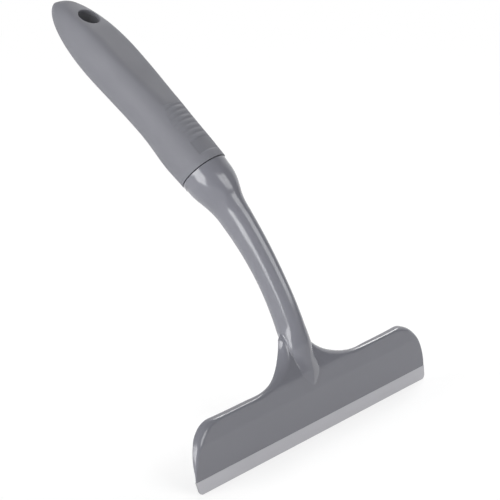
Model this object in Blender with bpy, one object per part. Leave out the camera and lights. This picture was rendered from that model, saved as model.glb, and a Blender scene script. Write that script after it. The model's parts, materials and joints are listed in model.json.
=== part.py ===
# Shower squeegee: a one-piece moulded head and arm, a two-part grip and a rubber blade.
# +X runs along the blade, -Y is the side that the user sees, +Z is up.
# The origin is the middle of the wiping lip, which lies on the plane z = 0.
# The handle follows one curved line, the spine, in the plane x = 0. A place on it is a
# distance, "run", measured from the arm's foot: negative down into the head, positive
# up to the tail of the grip.

import math

import bmesh
import bpy
from mathutils import Vector

MM = 0.001

# Blade
BLADE_LENGTH = 230 * MM
BLADE_DROP = 8 * MM
BLADE_LEAN = 2.4 * MM
BLADE_THICKNESS = 2.2 * MM
LIP_THICKNESS = 1.0 * MM
LIP_CORNER_RADIUS = 3.0 * MM
LIP_SHORTENING = 1.1 * MM
TONGUE_THICKNESS = 0.8 * MM
TONGUE_HEIGHT = 8.5 * MM
BEAD_RADIUS = 1.3 * MM
SEAT_GAP = 0.3 * MM

# Head plate, seen from the front
HEAD_HEIGHT = 30.3 * MM
END_LEAN = 0.3 * MM
END_STRAIGHT = 1.0 * MM
END_DRAFT = 1.0 * MM
END_CURVE_WIDTH = 24.0 * MM
FILLET_WIDTH = 46.3 * MM
FILLET_HEIGHT = 23.7 * MM
FILLET_FULLNESS = 2.15
WEB_HALF_WIDTH = 9.7 * MM
WEB_TIP_HALF_WIDTH = 3.0 * MM
WEB_TIP_HEIGHT = 8.0 * MM

# Head plate, seen from the end
EDGE_THICKNESS = 2.6 * MM
HEAD_THICKNESS = 5.4 * MM
CREASE_DROP = 9.8 * MM
BEND_RISE = 3.7 * MM
LOWER_SLOPE = 0.06
UPPER_SLOPE = 0.28
BEND_SLOPE = 0.50
WEB_SLOPE = 0.68
EDGE_ROUND = 1.0 * MM

# Pockets in the back of the head
SKIN_WALL = 2.2 * MM
RIM_WALL = 2.4 * MM
RIB_WALL = 1.8 * MM
POCKET_WIDTH = 20.0 * MM
POCKET_FLOOR_HEIGHT = 13.5 * MM
POCKET_INNER_X = 27.0 * MM

# Spine
FOOT_RISE = 22.9 * MM
FOOT_LEAD = 0.3 * MM
FOOT_ANGLE = math.radians(65.0)
ARM_RUN = 112.0 * MM
ARM_BEND = math.radians(23.6)
GRIP_RUN = 147.0 * MM
GRIP_BEND = math.radians(9.6)

# Keel: the arm's lower end, which runs out on the face of the head
KEEL_RUN = 37.0 * MM
KEEL_HALF_WIDTH = 9.2 * MM
KEEL_TIP_HALF_WIDTH = 1.2 * MM
KEEL_TIP_FRONT = 4.2 * MM
KEEL_TIP_BACK = 2.0 * MM
KEEL_SHOULDER_RUN = 12.0 * MM

# Arm and collar
ARM_HALF_WIDTH = 7.65 * MM
ARM_HALF_DEPTH = 9.9 * MM
NECK_LENGTH = 29.0 * MM
NECK_HALF_WIDTH = 8.6 * MM
NECK_HALF_DEPTH = 11.2 * MM
COLLAR_LENGTH = 7.0 * MM
COLLAR_RADIUS = 15.2 * MM
SEAM_RADIUS = 15.55 * MM
RIDGE_FULLNESS = 1.65

# Grip, outside. Each distance is measured along the spine from the seam.
SEAM_GAP = 0.8 * MM
BELLY_DISTANCE = 18.0 * MM
BELLY_RADIUS = 16.35 * MM
WAIST_DISTANCE = 48.0 * MM
WAIST_RADIUS = 15.95 * MM
TAIL_LENGTH = 55.0 * MM
TAIL_RADIUS = 17.0 * MM
PANEL_DISTANCE = 43.0 * MM
PANEL_FALL_LENGTH = 70.0 * MM
PANEL_RUN_OUT = 0.15
PANEL_START_HEIGHT = 14.5 * MM
PANEL_END_HEIGHT = 11.5 * MM
PANEL_EDGE_ROUND = 3.0 * MM

# Thumb ribs and the smooth patch below them
RIB_DISTANCE = 30.0 * MM
RIB_FIELD_HALF_LENGTH = 17.5 * MM
RIB_FIELD_HALF_WIDTH = 10.8 * MM
GROOVE_COUNT = 7
GROOVE_PITCH = 3.6 * MM
GROOVE_WIDTH = 1.8 * MM
GROOVE_FLOOR = 1.0 * MM
GROOVE_DEPTH = 0.7 * MM
PATCH_DISTANCE = 5.5 * MM
PATCH_LENGTH = 11.1 * MM
PATCH_HALF_WIDTH = 9.4 * MM
PATCH_DEPTH = 0.5 * MM
STEP_LENGTH = 0.4 * MM

# Grip, inside
GRIP_SKIN_WALL = 2.2 * MM
CORE_WALL = 2.5 * MM
LEDGE_DISTANCE = 54.0 * MM
LEDGE_LENGTH = 3.0 * MM
LEDGE_RADIUS = 6.5 * MM
TANG_THICKNESS = 3.0 * MM
TANG_GAP = 0.8 * MM
BARB_REACH = 1.4 * MM
BARB_LENGTH = 4.0 * MM
SPIGOT_LENGTH = 7.0 * MM
HOLE_BOSS_WALL = 20.0 * MM

# Hanging hole
HOLE_FROM_TAIL = 25.6 * MM
HOLE_RADIUS = 7.3 * MM

# Fineness of the round shapes
ROUND_SIDES = 36
RING_PITCH = 6.0 * MM
CURVE_STEPS = 8

HALF_LENGTH = BLADE_LENGTH / 2
FRONT_EDGE_Y = BLADE_LEAN - EDGE_THICKNESS / 2
CREASE_HEIGHT = HEAD_HEIGHT - CREASE_DROP
BEND_HEIGHT = HEAD_HEIGHT + BEND_RISE
FOOT_HEIGHT = HEAD_HEIGHT + FOOT_RISE
SEAM_RUN = ARM_RUN
COLLAR_RUN = SEAM_RUN - COLLAR_LENGTH
NECK_RUN = COLLAR_RUN - NECK_LENGTH
END_RUN = SEAM_RUN + GRIP_RUN
MOUTH_RUN = SEAM_RUN + SEAM_GAP
BELLY_RUN = SEAM_RUN + BELLY_DISTANCE
WAIST_RUN = SEAM_RUN + WAIST_DISTANCE
TAIL_RUN = END_RUN - TAIL_LENGTH
PANEL_RUN = SEAM_RUN + PANEL_DISTANCE
RIB_RUN = SEAM_RUN + RIB_DISTANCE
PATCH_START_RUN = SEAM_RUN + PATCH_DISTANCE
PATCH_END_RUN = PATCH_START_RUN + PATCH_LENGTH
LEDGE_RUN = SEAM_RUN + LEDGE_DISTANCE
HOLE_RUN = END_RUN - HOLE_FROM_TAIL
CAVITY_END_RUN = HOLE_RUN - HOLE_RADIUS - HOLE_BOSS_WALL
CORE_INSET = GRIP_SKIN_WALL + SEAT_GAP
CAVITY_INSET = CORE_INSET + CORE_WALL


def clear_scene():
    for item in list(bpy.data.objects):
        bpy.data.objects.remove(item, do_unlink=True)


def smooth_step(value, low, high):
    if value <= low:
        return 0.0
    if value >= high:
        return 1.0
    share = (value - low) / (high - low)
    return share * share * (3 - 2 * share)


def ease(value, stations):
    """Value of a size that eases from one (run, size) station to the next."""
    if value <= stations[0][0]:
        return stations[0][1]
    for (low, size_low), (high, size_high) in zip(stations, stations[1:]):
        if value <= high:
            return size_low + (size_high - size_low) * smooth_step(value, low, high)
    return stations[-1][1]


def soft_min(first, second, round_size):
    share = max(round_size - abs(first - second), 0) / round_size
    return min(first, second) - share * share * round_size / 4


# The spine: two arcs that meet where the collar begins

def arc_point(start, angle, rate, run):
    """Point and angle after a run along an arc that turns down by rate per metre."""
    turned = angle - rate * run
    y = start[0] + (math.sin(angle) - math.sin(turned)) / rate
    z = start[1] + (math.cos(turned) - math.cos(angle)) / rate
    return (y, z), turned


def spine(run):
    """Centre, front direction and tangent of the handle at a run."""
    foot = (face_y(FOOT_HEIGHT) - FOOT_LEAD, FOOT_HEIGHT + BLADE_DROP)
    arm_rate = ARM_BEND / COLLAR_RUN
    if run <= COLLAR_RUN:
        place, angle = arc_point(foot, FOOT_ANGLE, arm_rate, run)
    else:
        joint, joint_angle = arc_point(foot, FOOT_ANGLE, arm_rate, COLLAR_RUN)
        grip_rate = GRIP_BEND / (END_RUN - COLLAR_RUN)
        place, angle = arc_point(joint, joint_angle, grip_rate, run - COLLAR_RUN)
    centre = Vector((0, place[0], place[1]))
    front = Vector((0, -math.sin(angle), math.cos(angle)))
    tangent = Vector((0, math.cos(angle), math.sin(angle)))
    return centre, front, tangent


def powered(value, fullness):
    return math.copysign(abs(value) ** (2 / fullness), value)


def section(run, half_width, front_depth, back_depth, fullness, sides=ROUND_SIDES):
    """Ring of points round the spine; fullness 2 is an ellipse, less makes a ridge."""
    centre, front, _ = spine(run)
    ring = []
    for index in range(sides):
        turn = 2 * math.pi * index / sides
        depth = front_depth if math.sin(turn) >= 0 else back_depth
        shape = fullness if math.sin(turn) >= 0 else 2
        across = half_width * powered(math.cos(turn), shape)
        ahead = depth * powered(math.sin(turn), shape)
        ring.append(centre + Vector((across, 0, 0)) + front * ahead)
    return ring


def stations_between(low, high, pitch=RING_PITCH):
    count = max(2, math.ceil((high - low) / pitch))
    return [low + (high - low) * index / count for index in range(count + 1)]


# Making meshes

def new_object(name, mesh_data, origin=Vector((0, 0, 0))):
    """Object from a bmesh whose points are in the part's frame, with a chosen origin."""
    bmesh.ops.recalc_face_normals(mesh_data, faces=mesh_data.faces)
    bmesh.ops.translate(mesh_data, verts=mesh_data.verts, vec=-origin)
    mesh = bpy.data.meshes.new(name)
    mesh_data.to_mesh(mesh)
    mesh_data.free()
    item = bpy.data.objects.new(name, mesh)
    item.location = origin
    bpy.context.collection.objects.link(item)
    return item


def loft(rings):
    """Closed skin through rings of equal point count, with both ends capped."""
    bm = bmesh.new()
    loops = [[bm.verts.new(point) for point in ring] for ring in rings]
    for first, second in zip(loops, loops[1:]):
        for index in range(len(first)):
            follow = (index + 1) % len(first)
            bm.faces.new((first[index], first[follow], second[follow], second[index]))
    bm.faces.new(loops[0])
    bm.faces.new(loops[-1])
    return bm


def prism(outline, axis, low, high):
    """Solid from an outline of 3-D points, extruded along an axis from low to high."""
    bm = bmesh.new()
    start = [bm.verts.new(point + axis * low) for point in outline]
    end = [bm.verts.new(point + axis * high) for point in outline]
    bm.faces.new(start)
    bm.faces.new(end)
    for index in range(len(outline)):
        follow = (index + 1) % len(outline)
        bm.faces.new((start[index], start[follow], end[follow], end[index]))
    return bm


def combine(target, tool, operation):
    change = target.modifiers.new(tool.name, 'BOOLEAN')
    change.operation = operation
    change.solver = 'EXACT'
    change.object = tool
    tool.hide_render = True
    tool.display_type = 'WIRE'


def finish(item, material, sharp_degrees=35):
    item.data.shade_smooth()
    item.data.set_sharp_from_angle(angle=math.radians(sharp_degrees))
    item.data.materials.append(material)


def surface(name, colour, roughness):
    material = bpy.data.materials.new(name)
    material.use_nodes = True
    shader = material.node_tree.nodes['Principled BSDF']
    shader.inputs['Base Color'].default_value = (*colour, 1)
    shader.inputs['Roughness'].default_value = roughness
    shader.inputs['Metallic'].default_value = 0
    return material


# Head plate

def face_y(height):
    """Front surface of the head at a height above its lower edge."""
    y = FRONT_EDGE_Y + LOWER_SLOPE * min(height, CREASE_HEIGHT)
    if height > CREASE_HEIGHT:
        y += UPPER_SLOPE * (min(height, HEAD_HEIGHT) - CREASE_HEIGHT)
    if height > HEAD_HEIGHT:
        y += BEND_SLOPE * (min(height, BEND_HEIGHT) - HEAD_HEIGHT)
    if height > BEND_HEIGHT:
        y += WEB_SLOPE * (height - BEND_HEIGHT)
    return y


def head_depth(height):
    """Thickness along Y, which grows from the blade up to the crease."""
    share = min(height / CREASE_HEIGHT, 1)
    return EDGE_THICKNESS + (HEAD_THICKNESS - EDGE_THICKNESS) * share


def head_half_outline():
    """Right half of the head's front outline, as (x, height) from bottom to top."""
    corner_x = HALF_LENGTH - END_LEAN
    corner_height = HEAD_HEIGHT - END_STRAIGHT
    points = [(HALF_LENGTH, 0)]
    for step in range(CURVE_STEPS + 1):
        turn = math.pi / 2 * step / CURVE_STEPS
        x = corner_x - END_CURVE_WIDTH * (1 - math.cos(turn))
        points.append((x, END_STRAIGHT + corner_height * math.sin(turn)))
    fillet_x = WEB_HALF_WIDTH + FILLET_WIDTH
    fillet_top = HEAD_HEIGHT + FILLET_HEIGHT
    for step in range(CURVE_STEPS + 1):
        turn = math.pi / 2 * (1 - step / CURVE_STEPS)
        x = fillet_x - FILLET_WIDTH * powered(math.cos(turn), FILLET_FULLNESS)
        height = fillet_top - FILLET_HEIGHT * powered(math.sin(turn), FILLET_FULLNESS)
        points.append((x, height))
    points.append((WEB_TIP_HALF_WIDTH, fillet_top + WEB_TIP_HEIGHT))
    return points


def sloped_plate(outline, front_gap, back_gap):
    """Solid that follows the head's slopes, from an outline of (x, height) points.

    The gaps give its front and back surfaces behind the head's face, as functions of
    the height. Level cuts at each change of slope keep every face flat.
    """
    bm = bmesh.new()
    bm.faces.new([bm.verts.new((x, 0, height)) for x, height in outline])
    for level in (CREASE_HEIGHT, HEAD_HEIGHT, BEND_HEIGHT):
        parts = list(bm.verts) + list(bm.edges) + list(bm.faces)
        bmesh.ops.bisect_plane(bm, geom=parts, plane_co=(0, 0, level), plane_no=(0, 0, 1))
    front = list(bm.verts)
    copy = bmesh.ops.extrude_face_region(bm, geom=list(bm.faces), use_keep_orig=True)
    back = [part for part in copy['geom'] if isinstance(part, bmesh.types.BMVert)]
    for group, gap in ((front, front_gap), (back, back_gap)):
        for vert in group:
            height = vert.co.z
            vert.co.y = face_y(height) + gap(height)
            vert.co.z = height + BLADE_DROP
    return bm


def round_rim(bm):
    """Rounds the rim's front and back edges, but not the lower edge or the tip."""
    bmesh.ops.recalc_face_normals(bm, faces=bm.faces)
    bmesh.ops.dissolve_degenerate(bm, dist=1e-6, edges=bm.edges)
    rim = []
    for edge in bm.edges:
        low = min(vert.co.z for vert in edge.verts)
        level = abs(edge.verts[0].co.z - edge.verts[1].co.z) < 1e-6
        at_bottom = level and low < BLADE_DROP + 1e-5
        runs_back = abs(edge.verts[0].co.y - edge.verts[1].co.y) > HEAD_THICKNESS / 4 and level
        if edge.calc_face_angle(0) > math.radians(45) and not at_bottom and not runs_back:
            rim.append(edge)
    bmesh.ops.bevel(bm, geom=rim, offset=EDGE_ROUND, segments=2, profile=0.5, affect='EDGES',
                    clamp_overlap=True)


def make_head_plate():
    right = head_half_outline()
    left = [(-x, height) for x, height in reversed(right)]
    bm = sloped_plate(right + left, lambda height: 0, head_depth)
    for vert in bm.verts:
        height = vert.co.z - BLADE_DROP
        if vert.co.y > face_y(height) + EDGE_THICKNESS / 2:
            vert.co.x *= 1 - END_DRAFT / HALF_LENGTH
    round_rim(bm)
    return new_object('head_plate', bm)


def pocket_spans():
    """Left and right limits of each pocket in the right half of the head's back."""
    end = HALF_LENGTH - END_LEAN - RIM_WALL - END_CURVE_WIDTH / 3
    pitch = POCKET_WIDTH + RIB_WALL
    count = max(1, int((end - POCKET_INNER_X + RIB_WALL) / pitch))
    return [(POCKET_INNER_X + index * pitch, POCKET_INNER_X + index * pitch + POCKET_WIDTH)
            for index in range(count)]


def rim_height(x):
    """Height of the head's outline at a place in the rounded end."""
    corner_x = HALF_LENGTH - END_LEAN
    beyond = max(0, x - (corner_x - END_CURVE_WIDTH)) / END_CURVE_WIDTH
    return END_STRAIGHT + (HEAD_HEIGHT - END_STRAIGHT) * math.sqrt(max(0, 1 - beyond * beyond))


def make_pockets():
    pockets = []
    for side in (-1, 1):
        for index, (low, high) in enumerate(pocket_spans()):
            top_low = rim_height(low) - RIM_WALL
            top_high = rim_height(high) - RIM_WALL
            floor = min(POCKET_FLOOR_HEIGHT, top_high - RIM_WALL)
            outline = [(low, floor), (high, floor), (high, top_high), (low, top_low)]
            outline = [(side * x, height) for x, height in outline]
            bm = sloped_plate(outline, lambda height: SKIN_WALL, lambda height: HEAD_THICKNESS * 2)
            name = 'pocket_%s_%d' % ('left' if side < 0 else 'right', index + 1)
            pockets.append(new_object(name, bm))
    return pockets


# Blade and its groove

def tongue_outline(half_thickness, bead_radius, bottom):
    """Keyhole outline in the plane x = 0: a straight tongue that ends in a round bead."""
    foot = Vector((0, BLADE_LEAN, BLADE_DROP))
    bead_y = face_y(TONGUE_HEIGHT) + head_depth(TONGUE_HEIGHT) / 2
    bead = Vector((0, bead_y, BLADE_DROP + TONGUE_HEIGHT))
    up = (bead - foot).normalized()
    side = Vector((0, up.z, -up.y))
    open_angle = math.asin(half_thickness / bead_radius)
    points = [foot + side * half_thickness + up * bottom]
    steps = CURVE_STEPS * 2
    for step in range(steps + 1):
        turn = open_angle + (2 * math.pi - 2 * open_angle) * step / steps
        points.append(bead + side * bead_radius * math.sin(turn)
                      - up * bead_radius * math.cos(turn))
    points.append(foot - side * half_thickness + up * bottom)
    return points


def make_groove():
    half = TONGUE_THICKNESS / 2 + SEAT_GAP
    reach = HALF_LENGTH - RIM_WALL
    outline = tongue_outline(half, BEAD_RADIUS + SEAT_GAP, -EDGE_THICKNESS)
    return new_object('blade_groove', prism(outline, Vector((1, 0, 0)), -reach, reach))


def make_blade_root(material):
    reach = HALF_LENGTH - RIM_WALL - SEAT_GAP
    outline = tongue_outline(TONGUE_THICKNESS / 2, BEAD_RADIUS, 0)
    item = new_object('blade_root', prism(outline, Vector((1, 0, 0)), -reach, reach))
    finish(item, material)
    return item


def blade_pivot():
    """Line that the lip flexes about, in the middle of the rubber below the head."""
    height = BLADE_DROP - SEAT_GAP - BLADE_THICKNESS / 2
    return Vector((0, BLADE_LEAN * height / BLADE_DROP, height))


def make_blade_lip(material):
    """Tapered rubber strip with a round back at the flex line and a flat wiping edge."""
    pivot = blade_pivot()
    radius = BLADE_THICKNESS / 2
    outline = [Vector((0, -LIP_THICKNESS / 2, 0))]
    for step in range(CURVE_STEPS + 1):
        turn = math.pi * step / CURVE_STEPS
        outline.append(pivot + Vector((0, -radius * math.cos(turn), radius * math.sin(turn))))
    outline.append(Vector((0, LIP_THICKNESS / 2, 0)))
    bm = prism(outline, Vector((1, 0, 0)), -HALF_LENGTH, HALF_LENGTH)
    corners = [edge for edge in bm.edges
               if all(vert.co.z < 1e-6 for vert in edge.verts)
               and abs(edge.verts[0].co.x - edge.verts[1].co.x) < 1e-6]
    for vert in bm.verts:
        if vert.co.z < 1e-6:
            vert.co.x -= math.copysign(LIP_SHORTENING, vert.co.x)
    bmesh.ops.bevel(bm, geom=corners, offset=LIP_CORNER_RADIUS, segments=4, profile=0.5,
                    affect='EDGES')
    item = new_object('blade_lip', bm, pivot)
    finish(item, material)
    return item


# Arm, keel, collar and tang

def arm_section(run):
    half_width = ease(run, [(-KEEL_RUN, KEEL_TIP_HALF_WIDTH), (-KEEL_SHOULDER_RUN, KEEL_HALF_WIDTH),
                            (0, ARM_HALF_WIDTH), (NECK_RUN / 2, ARM_HALF_WIDTH),
                            (NECK_RUN, NECK_HALF_WIDTH), (COLLAR_RUN, COLLAR_RADIUS),
                            (SEAM_RUN, SEAM_RADIUS)])
    front = ease(run, [(-KEEL_RUN * 1.2, KEEL_TIP_FRONT * 0.8), (0, ARM_HALF_DEPTH),
                       (NECK_RUN / 2, ARM_HALF_DEPTH), (NECK_RUN, NECK_HALF_DEPTH),
                       (COLLAR_RUN, COLLAR_RADIUS), (SEAM_RUN, SEAM_RADIUS)])
    back = ease(run, [(-KEEL_RUN, KEEL_TIP_BACK), (0, ARM_HALF_DEPTH),
                      (NECK_RUN / 2, ARM_HALF_DEPTH), (NECK_RUN, NECK_HALF_DEPTH),
                      (COLLAR_RUN, COLLAR_RADIUS), (SEAM_RUN, SEAM_RADIUS)])
    fullness = RIDGE_FULLNESS + (2 - RIDGE_FULLNESS) * smooth_step(run, NECK_RUN, COLLAR_RUN)
    return section(run, half_width, front, back, fullness, sides=ROUND_SIDES - 8)


def make_arm():
    rings = [arm_section(run) for run in stations_between(-KEEL_RUN, SEAM_RUN, RING_PITCH * 0.8)]
    return new_object('head_and_arm', loft(rings))


def cross_ring(run, side, ahead, behind):
    """Twelve points of a plus-shaped rib section round the spine."""
    centre, front, _ = spine(run)
    half = TANG_THICKNESS / 2
    corners = [(half, half), (half, ahead), (-half, ahead), (-half, half), (-side, half),
               (-side, -half), (-half, -half), (-half, -behind), (half, -behind),
               (half, -half), (side, -half), (side, half)]
    return [centre + Vector((x, 0, 0)) + front * depth for x, depth in corners]


def shank_ring(run):
    """Section of the tang where it fills the grip's hollow."""
    radius = grip_radius(max(run, MOUTH_RUN), CAVITY_INSET)
    ahead = soft_min(radius, panel_height(run) - CAVITY_INSET, PANEL_EDGE_ROUND)
    return cross_ring(run, radius - TANG_GAP, ahead - TANG_GAP, radius - TANG_GAP)


def neck_ring(run, barb):
    """Section of the tang inside the ledge or, with its barbs, behind it."""
    ahead = soft_min(LEDGE_RADIUS, panel_height(run) - CAVITY_INSET, PANEL_EDGE_ROUND)
    reach = LEDGE_RADIUS - SEAT_GAP
    return cross_ring(run, reach + barb, ahead - SEAT_GAP, reach)


def make_tang():
    """Cross-ribbed tang, whose two side barbs snap behind the ledge in the grip."""
    ledge_start = LEDGE_RUN - LEDGE_LENGTH / 2 - SEAT_GAP
    ledge_end = LEDGE_RUN + LEDGE_LENGTH / 2 + SEAT_GAP
    runs = stations_between(MOUTH_RUN, ledge_start - SEAT_GAP, RING_PITCH * 2)
    rings = [shank_ring(run) for run in [SEAM_RUN - SPIGOT_LENGTH / 2] + runs]
    rings.append(neck_ring(ledge_start, 0))
    rings.append(neck_ring(ledge_end, 0))
    rings.append(neck_ring(ledge_end + SEAT_GAP, SEAT_GAP + BARB_REACH))
    rings.append(neck_ring(ledge_end + BARB_LENGTH, 0))
    return new_object('tang', loft(rings))


def make_spigot():
    """Round plug on the collar that centres the mouth of the grip."""
    radius = grip_radius(MOUTH_RUN, CAVITY_INSET) - SEAT_GAP
    runs = (SEAM_RUN - SPIGOT_LENGTH, SEAM_RUN + SPIGOT_LENGTH)
    rings = [section(run, radius, radius, radius, 2, sides=ROUND_SIDES - 10) for run in runs]
    return new_object('spigot', loft(rings))


def make_head_and_arm(material):
    body = make_arm()
    combine(body, make_head_plate(), 'UNION')
    combine(body, make_spigot(), 'UNION')
    combine(body, make_tang(), 'UNION')
    combine(body, make_groove(), 'DIFFERENCE')
    for pocket in make_pockets():
        combine(body, pocket, 'DIFFERENCE')
    finish(body, material)
    return body


# Grip

def grip_radius(run, inset):
    """Radius of the grip, or of a surface that lies an inset inside it."""
    if run <= TAIL_RUN:
        return ease(run, [(SEAM_RUN, SEAM_RADIUS), (BELLY_RUN, BELLY_RADIUS),
                          (WAIST_RUN, WAIST_RADIUS), (TAIL_RUN, TAIL_RADIUS)]) - inset
    share = min((run - TAIL_RUN) / (TAIL_LENGTH - inset), 1)
    return (TAIL_RADIUS - inset) * math.sqrt(1 - share * share)


def panel_height(run):
    """Height over the spine of the flat thumb panel, which falls away towards the tail."""
    if run < PANEL_RUN:
        return PANEL_START_HEIGHT + PANEL_RUN_OUT * (PANEL_RUN - run)
    share = min((run - PANEL_RUN) / PANEL_FALL_LENGTH, 1)
    return PANEL_END_HEIGHT + (PANEL_START_HEIGHT - PANEL_END_HEIGHT) * (1 - share) ** 2


def groove_run(index):
    return RIB_RUN + (index - (GROOVE_COUNT - 1) / 2) * GROOVE_PITCH


def carve_depth(run, across):
    """Depth of the grooves between the thumb ribs, and of the smooth patch."""
    depth = 0
    if PATCH_START_RUN <= run <= PATCH_END_RUN and abs(across) < PATCH_HALF_WIDTH:
        edge = min(run - PATCH_START_RUN, PATCH_END_RUN - run)
        depth = PATCH_DEPTH * min(1, edge / STEP_LENGTH)
    along = min(abs(run - RIB_RUN) / RIB_FIELD_HALF_LENGTH, 1)
    if abs(across) < RIB_FIELD_HALF_WIDTH * math.sqrt(1 - along * along):
        slope = (GROOVE_WIDTH - GROOVE_FLOOR) / 2
        for index in range(GROOVE_COUNT):
            inside = GROOVE_WIDTH / 2 - abs(run - groove_run(index))
            depth = max(depth, GROOVE_DEPTH * min(1, inside / slope))
    return depth


def grip_ring(run, radius, inset, flat=True, carved=False):
    """Ring of the grip: round, with the flat thumb panel cut across its front."""
    centre, front, _ = spine(run)
    ring = []
    for index in range(ROUND_SIDES):
        turn = 2 * math.pi * (index + 0.5) / ROUND_SIDES
        across = radius * math.cos(turn)
        ahead = radius * math.sin(turn)
        if flat and ahead > 0:
            ahead = soft_min(ahead, panel_height(run) - inset, PANEL_EDGE_ROUND)
        if carved and ahead > 0:
            depth = carve_depth(run, across)
            across -= depth * math.cos(turn)
            ahead -= depth * math.sin(turn)
        ring.append(centre + Vector((across, 0, 0)) + front * ahead)
    return ring


def tail_runs(inset):
    """Runs that crowd together towards the rounded tail, down to a small end ring."""
    steps = CURVE_STEPS + 2
    return [TAIL_RUN + (TAIL_LENGTH - inset) * math.sin(math.radians(86) * step / steps)
            for step in range(1, steps + 1)]


def in_order(runs):
    """Runs sorted, without those that nearly repeat the one before."""
    kept = []
    for run in sorted(runs):
        if not kept or run - kept[-1] > STEP_LENGTH / 3:
            kept.append(run)
    return kept


def skin_runs():
    """Runs of the grip's outer rings, with extra ones at the ribs and the panel's step."""
    half = GROOVE_WIDTH / 2
    floor = GROOVE_FLOOR / 2
    runs = stations_between(MOUTH_RUN, PATCH_START_RUN)
    runs += stations_between(PATCH_START_RUN + STEP_LENGTH, PATCH_END_RUN - STEP_LENGTH)
    runs.append(PATCH_END_RUN)
    for index in range(GROOVE_COUNT):
        middle = groove_run(index)
        runs += [middle - half, middle - floor, middle + floor, middle + half]
    runs += [PANEL_RUN, PANEL_RUN + STEP_LENGTH]
    runs += stations_between(PANEL_RUN + STEP_LENGTH * 4, TAIL_RUN)
    return in_order(runs) + tail_runs(0)


def inner_runs(end):
    return stations_between(MOUTH_RUN, end, RING_PITCH * 1.6)


def make_bore(name):
    """Cylinder through the tail, square to the spine."""
    centre, front, tangent = spine(HOLE_RUN)
    side = Vector((1, 0, 0))
    outline = []
    for step in range(ROUND_SIDES):
        turn = 2 * math.pi * step / ROUND_SIDES
        outline.append(centre + side * HOLE_RADIUS * math.cos(turn)
                       + tangent * HOLE_RADIUS * math.sin(turn))
    return new_object(name, prism(outline, front, -TAIL_RADIUS * 2, TAIL_RADIUS * 2))


def outer_rings(inset, runs, carved=False):
    rings = []
    for run in runs:
        flat = not carved or run > PANEL_RUN
        rings.append(grip_ring(run, grip_radius(run, inset), inset, flat, carved))
    return rings


def make_grip_skin(material):
    outer = outer_rings(0, skin_runs(), carved=True)
    runs = inner_runs(TAIL_RUN) + tail_runs(GRIP_SKIN_WALL)
    inner = outer_rings(GRIP_SKIN_WALL, runs)
    item = new_object('grip_skin', loft(outer[::-1] + inner))
    combine(item, make_bore('skin_bore'), 'DIFFERENCE')
    finish(item, material)
    return item


def hollow_rings():
    """Rings of the core's hollow: its mouth, the ledge that narrows it and its end."""
    low = LEDGE_RUN - LEDGE_LENGTH / 2
    high = LEDGE_RUN + LEDGE_LENGTH / 2
    rings = outer_rings(CAVITY_INSET, inner_runs(low - SEAT_GAP))
    rings += [grip_ring(run, LEDGE_RADIUS, CAVITY_INSET) for run in (low, high)]
    rings += outer_rings(CAVITY_INSET,
                         stations_between(high + SEAT_GAP, CAVITY_END_RUN, RING_PITCH * 2))
    return rings


def make_grip_core(material):
    runs = inner_runs(TAIL_RUN) + tail_runs(CORE_INSET)
    outer = outer_rings(CORE_INSET, runs)
    item = new_object('grip_core', loft(outer[::-1] + hollow_rings()))
    combine(item, make_bore('core_bore'), 'DIFFERENCE')
    finish(item, material)
    return item


def build():
    clear_scene()
    gloss = surface('gloss_plastic', (0.185, 0.187, 0.200), 0.25)
    matte = surface('matte_grip', (0.235, 0.235, 0.250), 0.55)
    core = surface('core_plastic', (0.150, 0.152, 0.160), 0.35)
    rubber = surface('blade_rubber', (0.420, 0.420, 0.435), 0.50)
    make_head_and_arm(gloss)
    make_grip_core(core)
    make_grip_skin(matte)
    make_blade_root(rubber)
    make_blade_lip(rubber)


build()
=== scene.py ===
import json
import math

import bpy
import numpy as np
from mathutils import Matrix, Vector

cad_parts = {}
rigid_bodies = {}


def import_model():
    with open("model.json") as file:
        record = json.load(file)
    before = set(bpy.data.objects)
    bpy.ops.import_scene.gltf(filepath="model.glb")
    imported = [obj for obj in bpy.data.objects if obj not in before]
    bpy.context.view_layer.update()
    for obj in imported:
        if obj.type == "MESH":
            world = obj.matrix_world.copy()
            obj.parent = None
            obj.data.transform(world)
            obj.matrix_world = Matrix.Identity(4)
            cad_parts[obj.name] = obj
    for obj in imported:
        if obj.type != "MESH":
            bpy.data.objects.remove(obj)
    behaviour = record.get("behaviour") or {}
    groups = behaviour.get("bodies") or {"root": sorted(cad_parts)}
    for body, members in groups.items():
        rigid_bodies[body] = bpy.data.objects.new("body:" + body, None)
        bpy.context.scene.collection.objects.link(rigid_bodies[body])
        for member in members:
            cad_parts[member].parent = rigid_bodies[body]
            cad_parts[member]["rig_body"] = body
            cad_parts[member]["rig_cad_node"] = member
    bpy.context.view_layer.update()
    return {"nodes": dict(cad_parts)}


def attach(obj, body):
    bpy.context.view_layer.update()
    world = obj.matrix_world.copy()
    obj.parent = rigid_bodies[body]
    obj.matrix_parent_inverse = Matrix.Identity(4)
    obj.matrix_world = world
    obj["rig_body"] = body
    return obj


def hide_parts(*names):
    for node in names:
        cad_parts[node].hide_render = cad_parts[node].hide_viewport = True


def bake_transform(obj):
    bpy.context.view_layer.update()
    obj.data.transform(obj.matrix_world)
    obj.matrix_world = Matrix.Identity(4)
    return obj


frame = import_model()

mm = 0.001
sideways = Vector((1, 0, 0))


def deselectAll():
    if bpy.context.object and bpy.context.object.mode != 'OBJECT':
        bpy.ops.object.mode_set(mode='OBJECT')
    bpy.ops.object.select_all(action='DESELECT')


def choose(piece):
    deselectAll()
    piece.select_set(True)
    bpy.context.view_layer.objects.active = piece


def startPiece(name):
    # names the primitive that was just added
    piece = bpy.context.object
    piece.name = name
    piece.data.name = name
    return piece


def readPoints(piece):
    points = np.empty(len(piece.data.vertices) * 3)
    piece.data.vertices.foreach_get("co", points)
    return points.reshape(-1, 3)


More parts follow.
